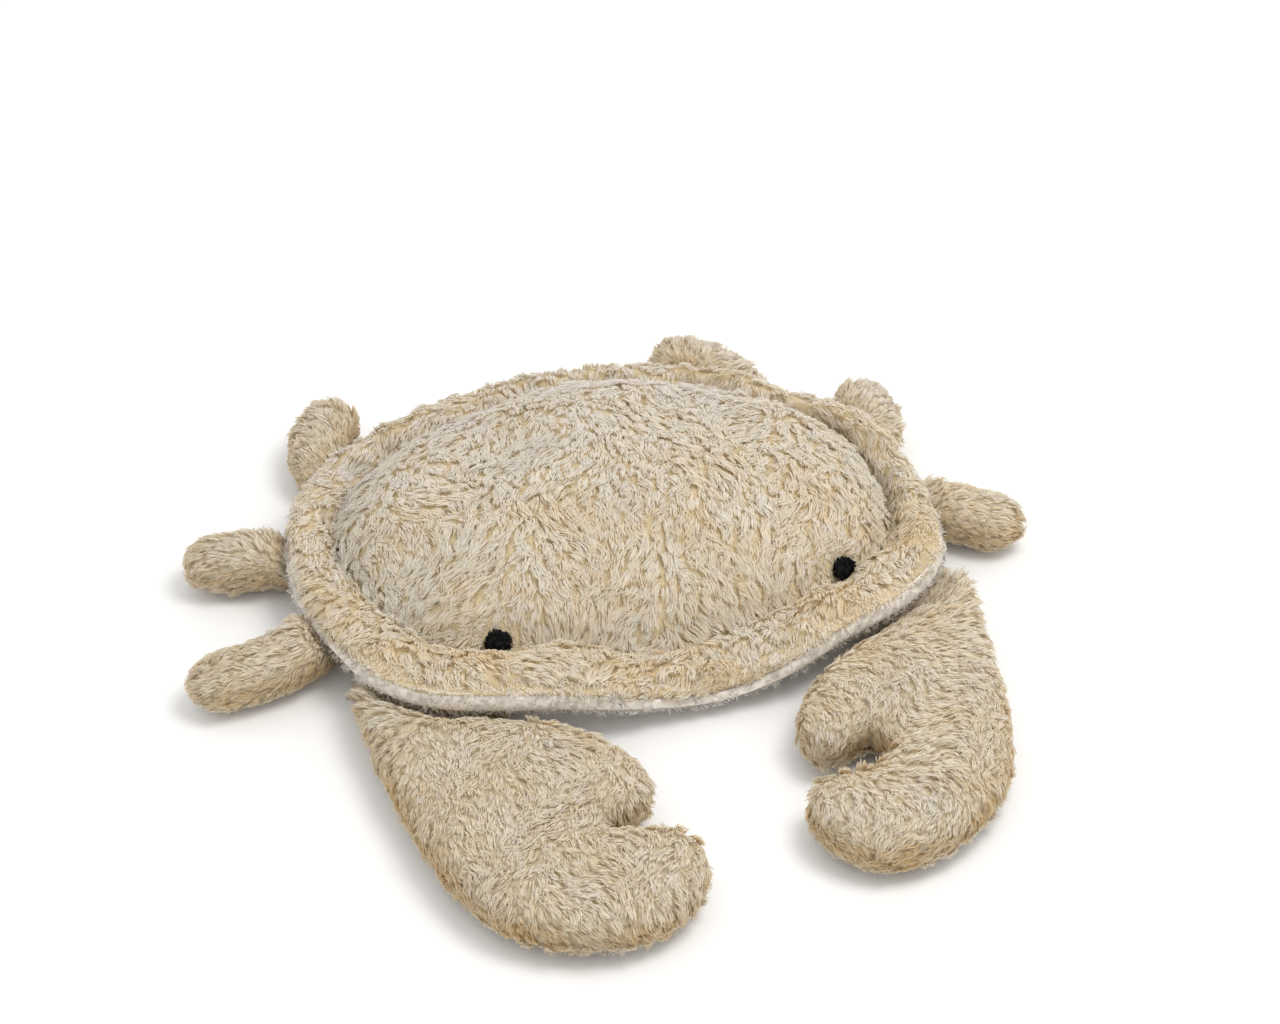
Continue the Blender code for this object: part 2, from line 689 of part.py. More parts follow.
def build_eye(name, angle):
    """A small felt disc that follows the pile it lies on."""
    along = EYE_FROM_SEAM / (rim_radius(angle) - border_width(angle))
    place = plush_point("crown", along, angle)
    inner = plush_point("crown", along + 0.04, angle)
    beside = plush_point("crown", along, angle + 2.0)
    normal = (beside - place).cross(inner - place).normalized()
    if normal.z < 0.0:
        normal.negate()
    turn = normal.to_track_quat("Z", "Y")
    back = turn.inverted()
    shell = bpy.data.objects["carapace_top"]
    plush = BVHTree.FromObject(shell, bpy.context.evaluated_depsgraph_get())
    lower = [(share * EYE_RADIUS, 0.0) for share in (0.0, 0.33, 0.67, 1.0)]
    upper = [(share * EYE_RADIUS, EYE_THICKNESS) for share in (0.67, 0.33, 0.0)]
    edge = [(EYE_RADIUS, 0.5 * EYE_THICKNESS)]
    mesh = turned_mesh(name, lower + edge + upper, EYE_STEPS)
    for vertex in mesh.vertices:
        start = place + turn @ Vector((vertex.co.x, vertex.co.y, 2.0 * EYE_RADIUS))
        hit = plush.ray_cast(start, -normal)[0]
        vertex.co.z += (back @ (hit - place)).z + EYE_SEAT_GAP
    point_faces_outwards(mesh)
    eye = add_object(name, mesh, "black_felt")
    eye.location = place
    eye.rotation_mode = "QUATERNION"
    eye.rotation_quaternion = turn
    return eye


def main():
    remove_all()
    build_carapace_top()
    build_carapace_underside()
    build_body_wadding()
    build_border_wadding()
    build_heat_pack()
    build_closure_strips()
    build_eye("eye_left", EYE_ANGLE_LEFT)
    build_eye("eye_right", EYE_ANGLE_RIGHT)
    for name in LEG_PATHS:
        build_leg(name)
    for name in CLAWS:
        build_claw(name)


main()
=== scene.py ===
import math

import bmesh
import bpy
import numpy as np
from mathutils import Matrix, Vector
from mathutils.bvhtree import BVHTree
from mathutils.kdtree import KDTree


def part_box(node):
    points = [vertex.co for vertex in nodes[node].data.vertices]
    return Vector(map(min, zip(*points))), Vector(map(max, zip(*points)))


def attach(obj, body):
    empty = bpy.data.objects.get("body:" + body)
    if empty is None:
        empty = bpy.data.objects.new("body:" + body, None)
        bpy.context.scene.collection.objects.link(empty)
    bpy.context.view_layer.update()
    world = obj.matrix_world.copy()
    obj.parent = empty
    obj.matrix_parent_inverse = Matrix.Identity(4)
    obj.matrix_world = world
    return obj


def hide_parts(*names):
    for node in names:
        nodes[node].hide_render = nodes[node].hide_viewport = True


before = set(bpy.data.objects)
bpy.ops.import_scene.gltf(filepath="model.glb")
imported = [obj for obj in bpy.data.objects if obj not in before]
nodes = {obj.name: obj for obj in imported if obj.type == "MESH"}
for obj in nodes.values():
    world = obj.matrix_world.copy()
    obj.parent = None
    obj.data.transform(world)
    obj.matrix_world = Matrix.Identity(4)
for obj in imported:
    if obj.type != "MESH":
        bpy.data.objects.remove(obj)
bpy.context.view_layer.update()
print("loaded", len(nodes), "solids")


def linear(hexColour):
    # sRGB hex to the linear values that the shaders take
    parts = [int(hexColour[i:i + 2], 16) / 255.0 for i in (1, 3, 5)]
    return tuple(p / 12.92 if p <= 0.04045 else ((p + 0.055) / 1.055) ** 2.4 for p in parts) + (1.0,)


def addNode(tree, kind, settings=None, links=None):
    node = tree.nodes.new(kind)
    for name, value in (settings or {}).items():
        if isinstance(name, int) or name in node.inputs:
            node.inputs[name].default_value = value
        else:
            setattr(node, name, value)
    for name, source in (links or {}).items():
        tree.links.new(source, node.inputs[name])
    return node


def newMaterial(name):
    made = bpy.data.materials.new(name)
    made.use_nodes = True
    made.node_tree.nodes.clear()
    return made, made.node_tree


def fillRamp(ramp, stops, interpolation="LINEAR"):
    ramp.color_ramp.interpolation = interpolation
    while len(ramp.color_ramp.elements) < len(stops):
        ramp.color_ramp.elements.new(0.5)
    for element, (position, colour) in zip(ramp.color_ramp.elements, stops):
        element.position = position
        element.color = colour


# fibre colours: three rows of five for each pile, every row from dark to light
tintCount = 15
limbTints = {
    "greyed": ["#f4ead8", "#f7eedf", "#faf3e5", "#fcf7ec", "#fefaf2"],
    "plain": ["#f6e8cb", "#f9edd4", "#fbf2dd", "#fdf6e6", "#fef9ed"],
    "golden": ["#f4dfb6", "#f7e5c1", "#f9eacc", "#fbefd6", "#fdf4e0"],
}
shellTints = {
    "greyed": ["#f7efe0", "#faf3e7", "#fcf7ee", "#fef9f3", "#fffcf7"],
    "plain": ["#f8edd4", "#faf1dd", "#fcf5e6", "#fdf8ed", "#fefaf2"],
    "golden": ["#f7e3bd", "#f9e9c9", "#fbeed4", "#fcf2de", "#fdf6e6"],
}
downTints = {
    "warm": ["#f1ece4", "#f5f1ea", "#f8f5ef", "#fbf8f4", "#fdfcf9"],
    "plain": ["#f6f2ec"] * 5,
    "bright": ["#fbf9f5"] * 5,
}
feltTints = {
    "deep": ["#0b0a0a"] * 5,
    "plain": ["#131212"] * 5,
    "worn": ["#1c1b1a"] * 5,
}
fibreStreaks = (260.0, 3.0, 1.0)  # across, about fifteen fibres of 0.025 mm on a ribbon of 0.36 mm
knitScale = 260.0  # blotches of about 4 mm; a stitch is 1 mm, too fine to show from here
weavePeriod = 0.314  # a wave texture of scale 1 repeats every 0.314 m
tipShade = (1.0, 1.0, 1.0, 1.0)


def pileMaterial(name, tints, paintedRootShade, through):
    # knitted polyester pile: a matt fibre that lets part of the light through, darker at its root with
    # painted shade
    made, tree = newMaterial(name)
    place = addNode(tree, "ShaderNodeUVMap", {"uv_map": "OFBake"})
    split = addNode(tree, "ShaderNodeSeparateXYZ", links={0: place.outputs["UV"]})
    tint = addNode(tree, "ShaderNodeValToRGB", links={0: split.outputs["X"]})
    colours = [linear(c) for row in tints.values() for c in row]
    fillRamp(tint, [(i / tintCount, c) for i, c in enumerate(colours)], "CONSTANT")
    # painted shade: the fibre darkens from halfway down to its root, for the shade deep in the pile
    along = addNode(tree, "ShaderNodeValToRGB", links={0: split.outputs["Y"]})
    paintedHalfShade = tuple(0.5 * (root + tip) for root, tip in zip(paintedRootShade, tipShade))
    fillRamp(along, [(0.0, paintedRootShade), (0.25, paintedHalfShade), (0.50, tipShade), (1.0, tipShade)])
    stretch = addNode(tree, "ShaderNodeMapping", {"Scale": fibreStreaks}, {"Vector": place.outputs["UV"]})
    fibres = addNode(tree, "ShaderNodeTexNoise", {"Scale": 1.0, "Detail": 2.0},
                     {"Vector": stretch.outputs[0]})
    streak = addNode(tree, "ShaderNodeMapRange",
                     {"From Min": 0.3, "From Max": 0.7, "To Min": 0.93, "To Max": 1.03},
                     {"Value": fibres.outputs[0]})
    shaded = addNode(tree, "ShaderNodeMix", {"data_type": "RGBA", "blend_type": "MULTIPLY"},
                     {6: tint.outputs["Color"], 7: along.outputs["Color"]})
    shaded.inputs["Factor"].default_value = 1.0
    streaked = addNode(tree, "ShaderNodeVectorMath", {"operation": "SCALE"},
                       {0: shaded.outputs[2], "Scale": streak.outputs[0]})
    surface = addNode(tree, "ShaderNodeBsdfPrincipled", {"Roughness": 0.62, "Specular IOR Level": 0.25},
                      {"Base Color": streaked.outputs[0]})
    glow = addNode(tree, "ShaderNodeBsdfTranslucent", links={"Color": streaked.outputs[0]})
    both = addNode(tree, "ShaderNodeMixShader", {0: through}, {1: surface.outputs[0], 2: glow.outputs[0]})
    addNode(tree, "ShaderNodeOutputMaterial", links={"Surface": both.outputs[0]})
    return made


def knitMaterial(name, colour, darker):
    # knitted or felted cloth: no gloss, a faint unevenness of tone and surface
    made, tree = newMaterial(name)
    place = addNode(tree, "ShaderNodeTexCoord")
    knit = addNode(tree, "ShaderNodeTexNoise", {"Scale": knitScale, "Detail": 3.0},
                   {"Vector": place.outputs["Object"]})
    tone = addNode(tree, "ShaderNodeMix", {"data_type": "RGBA", 6: linear(darker), 7: linear(colour)},
                   {"Factor": knit.outputs[0]})
    bump = addNode(tree, "ShaderNodeBump", {"Strength": 0.4, "Distance": 0.001}, {"Height": knit.outputs[0]})
    surface = addNode(tree, "ShaderNodeBsdfPrincipled", {"Roughness": 0.95},
                      {"Base Color": tone.outputs[2], "Normal": bump.outputs[0]})
    addNode(tree, "ShaderNodeOutputMaterial", links={"Surface": surface.outputs[0]})
    return made


def wovenMaterial(name, colour, darker, pitch):
    # a plain weave: two crossed rows of threads, one pitch apart, that show as a fine dry grid
    made, tree = newMaterial(name)
    place = addNode(tree, "ShaderNodeTexCoord")
    heights = []
    for axis in ("X", "Y"):
        threads = addNode(tree, "ShaderNodeTexWave",
                          {"bands_direction": axis, "Scale": weavePeriod / pitch, "Distortion": 0.4,
                           "Detail": 1.0},
                          {"Vector": place.outputs["Object"]})
        heights.append(threads.outputs["Fac"])
    over = addNode(tree, "ShaderNodeMath", {"operation": "MAXIMUM"}, {0: heights[0], 1: heights[1]})
    tone = addNode(tree, "ShaderNodeMix", {"data_type": "RGBA", 6: linear(darker), 7: linear(colour)},
                   {"Factor": over.outputs[0]})
    bump = addNode(tree, "ShaderNodeBump", {"Strength": 0.5, "Distance": 0.0004},
                   {"Height": over.outputs[0]})
    surface = addNode(tree, "ShaderNodeBsdfPrincipled", {"Roughness": 0.85},
                      {"Base Color": tone.outputs[2], "Normal": bump.outputs[0]})
    addNode(tree, "ShaderNodeOutputMaterial", links={"Surface": surface.outputs[0]})
    return made


# long polyester fur, knitted and brushed: soft tufts, browner in their depths with painted shade
beigePile = pileMaterial("brushed_beige_pile", limbTints, (0.70, 0.55, 0.36, 1.0), 0.55)
# the same fur where it is paler, on the shell, with lighter painted shade at the roots
creamPile = pileMaterial("brushed_cream_pile", shellTints, (0.94, 0.84, 0.66, 1.0), 0.54)
# short polyester pile, sheared even: a chalky white band at the rim, with faint painted shade at the roots
whitePile = pileMaterial("sheared_white_pile", downTints, (0.95, 0.93, 0.90, 1.0), 0.60)
# loose fibres of pressed felt: they blur the eyes' edges; painted shade darkens them at the root
blackPile = pileMaterial("black_felt_fibre", feltTints, (0.7, 0.7, 0.7, 1.0), 0.55)
# the knitted backing that the fur grows from: matt, it fills the gaps between the tufts; the beige and the
# cream are darker than their fibres, painted shade for the crevices between the tufts
beigeBackingPaintedShade = knitMaterial("beige_knit_backing_painted_shade", "#cabfa9", "#a89a7e")
creamBackingPaintedShade = knitMaterial("cream_knit_backing_painted_shade", "#d4c5a6", "#b39f78")
whiteBacking = knitMaterial("white_knit_backing", "#f2ece4", "#e2d9cd")
# wool felt, pressed: a black that takes no light
blackFelt = knitMaterial("black_pressed_felt", "#121111", "#0a0909")


def meshObject(name, mesh, material):
    thing = bpy.data.objects.new(name, mesh)
    bpy.context.scene.collection.objects.link(thing)
    mesh.materials.clear()
    mesh.materials.append(material)
    return thing


def applied(thing):
    # swaps an object's mesh for what its modifiers make of it
    view = bpy.context.evaluated_depsgraph_get()
    mesh = bpy.data.meshes.new_from_object(thing.evaluated_get(view))
    old = thing.data
    thing.modifiers.clear()
    thing.data = mesh
    bpy.data.meshes.remove(old)
    return thing


def smoothShaded(thing):
    thing.data.polygons.foreach_set("use_smooth", [True] * len(thing.data.polygons))
    return thing


def copyOfNode(name, node, material):
    mesh = nodes[node].data.copy()
    work = bmesh.new()
    work.from_mesh(mesh)
    bmesh.ops.remove_doubles(work, verts=work.verts, dist=0.00002)
    bmesh.ops.recalc_face_normals(work, faces=work.faces)
    work.to_mesh(mesh)
    work.free()
    return meshObject(name, mesh, material)


def thickened(thing, thickness):
    # gives a sheet its wall, inwards
    wall = thing.modifiers.new("thickness", "SOLIDIFY")
    wall.thickness = thickness
    wall.offset = -1.0
    return thing


def pointsOf(mesh):
    flat = np.empty(len(mesh.vertices) * 3)
    mesh.vertices.foreach_get("co", flat)
    return flat.reshape(-1, 3)


def normalsOf(mesh):
    flat = np.empty(len(mesh.vertices) * 3)
    mesh.vertices.foreach_get("normal", flat)
    return flat.reshape(-1, 3)


def setPoints(mesh, points):
    mesh.vertices.foreach_set("co", points.ravel())
    mesh.update()


def unit(vectors):
    return vectors / np.maximum(np.linalg.norm(vectors, axis=1, keepdims=True), 1e-9)


def smoothStep(value):
    value = np.clip(value, 0.0, 1.0)
    return value * value * (3.0 - 2.0 * value)


def degreesOf(points):
    return np.degrees(np.arctan2(points[:, 1], points[:, 0]))


def radiusOf(points):
    return np.hypot(points[:, 0], points[:, 1])


def waves(seed, wavelength, count=7):
    # a smooth random field of about -1 to 1: a sum of sine waves in random directions
    dice = np.random.default_rng(seed)
    directions = unit(dice.normal(size=(count, 3))) * (2.0 * math.pi / wavelength)
    directions *= dice.uniform(0.7, 1.5, size=(count, 1))
    phases = dice.uniform(0.0, 2.0 * math.pi, count)
    return lambda points: np.sin(points @ directions.T + phases).sum(axis=1) / math.sqrt(count / 2.0) * 0.7


def finishPiece(thing):
    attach(thing, "root")
    return thing


# the shell: radii in mm of its rim and of its quilting seam, every 10 degrees on each side,
# from the front (-90) over the side (0) to the back (90)
shell = {
    "rimRight": [144, 149, 155, 158, 170, 180, 179, 172, 169, 169,
                 167, 157, 149, 148, 141, 140, 142, 146, 148],
    "rimLeft": [144, 146, 154, 163, 177, 194, 194, 185, 184, 182,
                180, 177, 170, 163, 150, 144, 142, 144, 148],
    "seamRight": [105, 107, 112, 117, 122, 131, 146, 150, 149, 148,
                  145, 136, 127, 123, 117, 115, 116, 119, 121],
    "seamLeft": [105, 106, 108, 109, 115, 127, 146, 147, 147, 151,
                 154, 151, 144, 136, 125, 118, 115, 117, 121],
    "cornerEase": 6.0,           # degrees over which the outlines are rounded
    "crownHeight": 0.067,
    "crownRoundnessFront": 0.57,
    "crownRoundnessBack": 0.41,
    "crownWaves": [              # direction, wavelength, height and phase of the padding's undulations
        (20.0, 0.112, 0.0015, 40.0),
        (82.0, 0.088, 0.0013, 150.0),
        (138.0, 0.074, 0.0011, 300.0),
        (52.0, 0.060, 0.0007, 210.0),
    ],
    "wavesFade": 0.30,           # share of the crown over which they fade towards the seam
    "seamHeight": 0.0114,
    "seamLift": 0.35,            # how far the seam follows the rim's lift
    "backRaise": 0.0035,         # the seam's rise at the back, all round and at the front
    "seamRaise": 0.0035,
    "frontRaise": 0.0035,
    "borderHeight": 0.0210,
    "borderLean": 1.40,          # over 1, the border's roll peaks nearer to the rim
    "borderFullness": 0.9,
    "frontDrop": 0.0012,
    "eyeDip": 0.0032,
    "eyeDipSeam": 0.45,
    "eyeDipSpread": 9.0,
    "eyeAngles": (-138.5, -40.5),
    "liftFront": 0.005,
    "liftBack": 0.010,
    "liftSides": 0.018,
    "liftClaws": 0.006,
    "clawAngle": -40.0,
    "clawSpread": 18.5,
    "rimSeamHeight": 0.009,
    "bandRise": 0.0066,          # more of the pale underside shows at the front corners
    "bandAngle": -46.0,
    "bandSpread": 27.0,
    "lumps": [(3, 0.060, 0.0005), (4, 0.030, 0.0004)],   # seed, wavelength, height
    "rumple": (5, 0.030, 0.0015),
    "rumpleMore": 0.0016,        # the border is more rumpled at the right-hand side
    "rumpleAngle": 20.0,
    "rumpleSpread": 40.0,
    "pileDepth": 0.0040,         # the skin lies this far under the solid's surface, which is the pile's
    "rimPileShare": 0.25,
    "wall": 0.0015,
    "turns": 160,
    "crownRows": 24,
    "borderRows": 14,
    "rowsEase": 0.8,
}


def aroundTable(right, left):
    angles = list(range(-90, 91, 10)) + list(range(100, 270, 10))
    values = list(right) + list(left[1:-1])[::-1]
    values[0] = 0.5 * (right[0] + left[0])
    values[18] = 0.5 * (right[-1] + left[-1])
    fine = np.interp(np.arange(-90, 270), angles + [270], values + [values[0]])
    reach = np.arange(-14, 15)
    kernel = np.exp(-(reach / shell["cornerEase"]) ** 2)
    kernel /= kernel.sum()
    return np.array([(np.roll(fine, -r)) * k for r, k in zip(reach, kernel)]).sum(axis=0) / 1000.0


rimTable = aroundTable(shell["rimRight"], shell["rimLeft"])
seamTable = aroundTable(shell["seamRight"], shell["seamLeft"])


def around(table, degrees):
    return np.interp((degrees + 90.0) % 360.0, np.arange(361), np.append(table, table[0]))


def foldedAngle(degrees):
    # the angle on either side alike: -90 at the front, 90 at the back
    turn = np.radians(degrees)
    return np.degrees(np.arctan2(np.sin(turn), np.abs(np.cos(turn))))


def liftAt(degrees):
    # height of the border's lowest line over the floor
    turn = np.radians(degrees)
    ends = np.where(np.sin(turn) < 0.0, shell["liftFront"], shell["liftBack"])
    lift = ends + (shell["liftSides"] - ends) * smoothStep(np.abs(np.cos(turn)) / 0.55)
    nearClaws = np.exp(-((foldedAngle(degrees) - shell["clawAngle"]) / shell["clawSpread"]) ** 2)
    return lift + shell["liftClaws"] * nearClaws


def rimSeamAt(degrees):
    # height of the rim seam over that line
    corner = np.exp(-((foldedAngle(degrees) - shell["bandAngle"]) / shell["bandSpread"]) ** 2)
    return shell["rimSeamHeight"] + shell["bandRise"] * corner


def eyeDips(degrees):
    # the border sags a little in front of the eyes
    aside = [(degrees - angle + 180.0) % 360.0 - 180.0 for angle in shell["eyeAngles"]]
    return sum(np.exp(-(angle / shell["eyeDipSpread"]) ** 2) for angle in aside)


def crownSwell(x, y):
    swell = 0.0
    for direction, wavelength, height, phase in shell["crownWaves"]:
        turn = math.radians(direction)
        along = (x * math.cos(turn) + y * math.sin(turn)) / wavelength
        swell = swell + height * np.sin(2.0 * math.pi * along + math.radians(phase))
    return swell


def shellPoint(row, degrees):
    # row 0 to 1 is the crown, from its middle to the quilting seam; 1 to 2 is the border's roll
    turn = np.radians(degrees)
    rim, seam, lift = around(rimTable, degrees), around(seamTable, degrees), liftAt(degrees)
    front = smoothStep((0.35 - np.sin(turn)) / 1.1)
    back = smoothStep(0.5 + np.sin(turn))
    dips = eyeDips(degrees)
    seamZ = shell["seamHeight"] + shell["seamLift"] * lift + shell["backRaise"] * (1.0 - front)
    seamZ = seamZ + shell["seamRaise"] + shell["frontRaise"] * front
    seamZ = seamZ - shell["eyeDipSeam"] * shell["eyeDip"] * dips
    crown = np.clip(row, 0.0, 1.0)
    roll = np.clip(row - 1.0, 0.0, 1.0)
    radius = np.where(row <= 1.0, seam * crown, seam + (rim - seam) * 0.5 * (1.0 - np.cos(math.pi * roll)))
    x, y = radius * np.cos(turn), radius * np.sin(turn)
    frontRound, backRound = shell["crownRoundnessFront"], shell["crownRoundnessBack"]
    rise = (1.0 - crown ** 2) ** (frontRound + (backRound - frontRound) * back)
    swell = crownSwell(x, y) * smoothStep((1.0 - crown) / shell["wavesFade"])
    crownZ = seamZ + (shell["crownHeight"] - seamZ) * rise + swell
    base = np.where(roll < 0.5, seamZ, lift + rimSeamAt(degrees))
    top = lift + shell["borderHeight"] - shell["frontDrop"] * front - shell["eyeDip"] * dips
    arch = np.sin(math.pi * roll ** shell["borderLean"]) ** shell["borderFullness"]
    rollZ = base + (top - base) * arch
    return np.stack([x, y, np.where(row <= 1.0, crownZ, rollZ)], axis=-1)


def sortFaces(work):
    # spin and sphere list their faces in an order that changes from run to run: by row, then by turn
    def placeOf(face):
        centre = face.calc_center_median()
        return round(centre.z * 1e5) * 1000.0 + math.degrees(math.atan2(centre.y, centre.x))
    work.faces.sort(key=placeOf)


def spunSheet(name, rows, turns, material):
    # a line of points spun round Z; each vertex then finds its place from its row and angle
    mesh = bpy.data.meshes.new(name)
    work = bmesh.new()
    line = [work.verts.new((float(i), 0.0, float(i))) for i in range(rows)]
    edges = [work.edges.new(pair) for pair in zip(line, line[1:])]
    bmesh.ops.spin(work, geom=line + edges, cent=(0, 0, 0), axis=(0, 0, 1), angle=2.0 * math.pi,
                   steps=turns, use_merge=True)
    bmesh.ops.remove_doubles(work, verts=work.verts, dist=0.001)
    sortFaces(work)
    work.to_mesh(mesh)
    work.free()
    return meshObject(name, mesh, material)


def faceSheet(mesh, upwards):
    # turns all of a spun sheet's faces to the side that is seen
    work = bmesh.new()
    work.from_mesh(mesh)
    bmesh.ops.recalc_face_normals(work, faces=work.faces)
    if (sum(face.normal.z for face in work.faces) > 0.0) != upwards:
        bmesh.ops.reverse_faces(work, faces=work.faces)
    work.to_mesh(mesh)
    work.free()


def buildShell():
    crownRows, borderRows = shell["crownRows"], shell["borderRows"]
    sheet = spunSheet("carapace_plush", crownRows + borderRows + 1, shell["turns"], creamBackingPaintedShade)
    where = pointsOf(sheet.data)
    index, degrees = where[:, 2], degreesOf(where)
    row = np.where(index <= crownRows, (index / crownRows) ** shell["rowsEase"],
                   1.0 + (index - crownRows) / borderRows)
    setPoints(sheet.data, shellPoint(row, degrees))
    faceSheet(sheet.data, True)
    points, normals = pointsOf(sheet.data), normalsOf(sheet.data)
    lumps = sum(height * waves(seed, wavelength)(points) for seed, wavelength, height in shell["lumps"])
    seed, wavelength, height = shell["rumple"]
    atSide = np.exp(-((degrees - shell["rumpleAngle"]) / shell["rumpleSpread"]) ** 2)
    rumple = (height + shell["rumpleMore"] * atSide) * waves(seed, wavelength)(points)
    lumps = lumps + rumple * smoothStep((row - 1.0) * 4.0)
    quiet = np.clip(np.minimum(np.abs(row - 1.0) * 6.0, (2.0 - row) * 4.0), 0.0, 1.0)  # none at the seams
    atRim = smoothStep((row - 1.75) / 0.22)
    depth = shell["pileDepth"] * (1.0 - (1.0 - shell["rimPileShare"]) * atRim)
    setPoints(sheet.data, points + normals * (lumps * quiet - depth)[:, None])
    return smoothShaded(sheet)


limb = {
    "voxel": 0.0040,
    "softening": 6,
    "clawDepth": 0.0028,
    "legDepth": 0.0016,
    "crease": [(-0.0680, -0.2400, 0.030), (-0.0920, -0.2235, 0.036)],   # the left claw's fold
    "creaseDepth": 0.0050,
    "creaseWidth": 0.0045,
    "notches": [(-0.066, -0.236, 0.018), (0.044, -0.225, 0.018)],
    "notchReach": 0.024,
    "notchFill": 0.0032,
    "pile": {"length": 0.0068, "tuftGap": 0.0042, "width": 0.00033, "density": 0.90},
    "floorSide": 0.006,          # below this height the pile is thin, for it isn't seen
    "floorShare": 0.40,
}


def notchAt(points):
    # beside the notches the stuffing pushes the fingers together
    away = [np.linalg.norm(points - np.array(spot), axis=1) for spot in limb["notches"]]
    return np.exp(-(np.min(away, axis=0) / limb["notchReach"]) ** 2)


def creaseAt(points):
    start, end = (np.array(p) for p in limb["crease"])
    along = np.clip((points - start) @ (end - start) / np.sum((end - start) ** 2), 0.0, 1.0)
    away = np.linalg.norm(points - start - along[:, None] * (end - start), axis=1)
    return np.exp(-(away / limb["creaseWidth"]) ** 2) * (1.0 - 0.6 * along)


def buildLimb(node):
    skin = copyOfNode(node + "_plush", node, beigeBackingPaintedShade)
    remesh = skin.modifiers.new("even", "REMESH")
    remesh.mode = "VOXEL"
    remesh.voxel_size = limb["voxel"]
    soften = skin.modifiers.new("soften", "SMOOTH")
    soften.factor = 0.5
    soften.iterations = limb["softening"]
    applied(skin)
    points, normals = pointsOf(skin.data), normalsOf(skin.data)
    depth = limb["clawDepth"] if node.startswith("claw") else limb["legDepth"]
    depth = depth + limb["creaseDepth"] * creaseAt(points) - limb["notchFill"] * notchAt(points)
    setPoints(skin.data, points - normals * depth[:, None])
    return smoothShaded(skin)


# the pile: strands that are ribbons of four triangles, leaning together into tufts; a strand stands for
# some fifteen fibres, so it is drawn coarser than the real one, or the picture would need millions
crabPile = {
    "tuftGap": 0.0048,           # distance between tufts
    "density": 0.97,             # strands to a square mm
    "length": 0.0086,
    "width": 0.00036,
    "rise": 0.26,                # radians between the fur and its backing
    "riseSpread": 0.07,
    "swerve": 0.17,              # how far a tuft strays from the comb's direction
    "curl": 0.24,
    "gather": 0.20,              # how far the strands of a tuft meet in one tip
    "stray": 0.0004,
    "arch": 0.18,
    "crimp": 0.00010,
    "lean": 0.25,                # how far a strand's shading follows its lean
    "roundness": 0.25,
}
fibre = {
    "taper": (1.0, 0.85),        # share of the width at the two pairs of edge points
    "rootSink": 0.0006,
    "lowest": 0.0002,            # nothing goes under the floor
    "tuftTries": 5.0,
    "tuftSpacing": 0.86,
    "tuftLength": (0.72, 1.22),
    "riseLimits": (0.12, 1.3),
    "strandLength": (0.75, 1.12),
    "strandGather": (0.6, 1.1),
    "strandRoll": 0.9,
    "strandWidth": (0.75, 1.2),
    "hueSpread": 0.28,
    "tuftShade": 0.10,
    "strandShade": 0.13,
    "uvMargin": 0.08,            # kept free at the sides of a tint's cell
    "uvEnd": 0.02,
}


def surfaceOf(thing):
    mesh = thing.data
    mesh.calc_loop_triangles()
    corners = np.empty(len(mesh.loop_triangles) * 3, np.int64)
    mesh.loop_triangles.foreach_get("vertices", corners)
    corners = corners.reshape(-1, 3)
    points, normals = pointsOf(mesh), normalsOf(mesh)
    a, b, c = (points[corners[:, i]] for i in range(3))
    areas = 0.5 * np.linalg.norm(np.cross(b - a, c - a), axis=1)
    middles = (a + b + c) / 3.0
    return {"points": points, "normals": normals, "corners": corners, "areas": areas, "middles": middles}


def scattered(surface, weights, count, dice):
    share = surface["areas"] * weights
    picked = dice.choice(len(share), count, p=share / share.sum())
    u, v = dice.random(count), dice.random(count)
    flip = u + v > 1.0
    u, v = np.where(flip, 1.0 - u, u), np.where(flip, 1.0 - v, v)
    weight = np.stack([1.0 - u - v, u, v], axis=1)[:, :, None]
    corners = surface["corners"][picked]
    roots = (surface["points"][corners] * weight).sum(axis=1)
    normals = unit((surface["normals"][corners] * weight).sum(axis=1))
    return roots, normals


def spaced(points, gap):
    # keeps the points that lie at least gap from every one kept before
    cells, kept = {}, []
    for i, point in enumerate(points):
        key = tuple(np.floor(point / gap).astype(int))
        near = [j for dx in (-1, 0, 1) for dy in (-1, 0, 1) for dz in (-1, 0, 1)
                for j in cells.get((key[0] + dx, key[1] + dy, key[2] + dz), ())]
        if all(np.sum((points[j] - point) ** 2) > gap * gap for j in near):
            cells.setdefault(key, []).append(i)
            kept.append(i)
    return np.array(kept)


def nearestOf(centres, points):
    tree = KDTree(len(centres))
    for i, centre in enumerate(centres):
        tree.insert(centre, i)
    tree.balance()
    return np.array([tree.find(point)[1] for point in points])


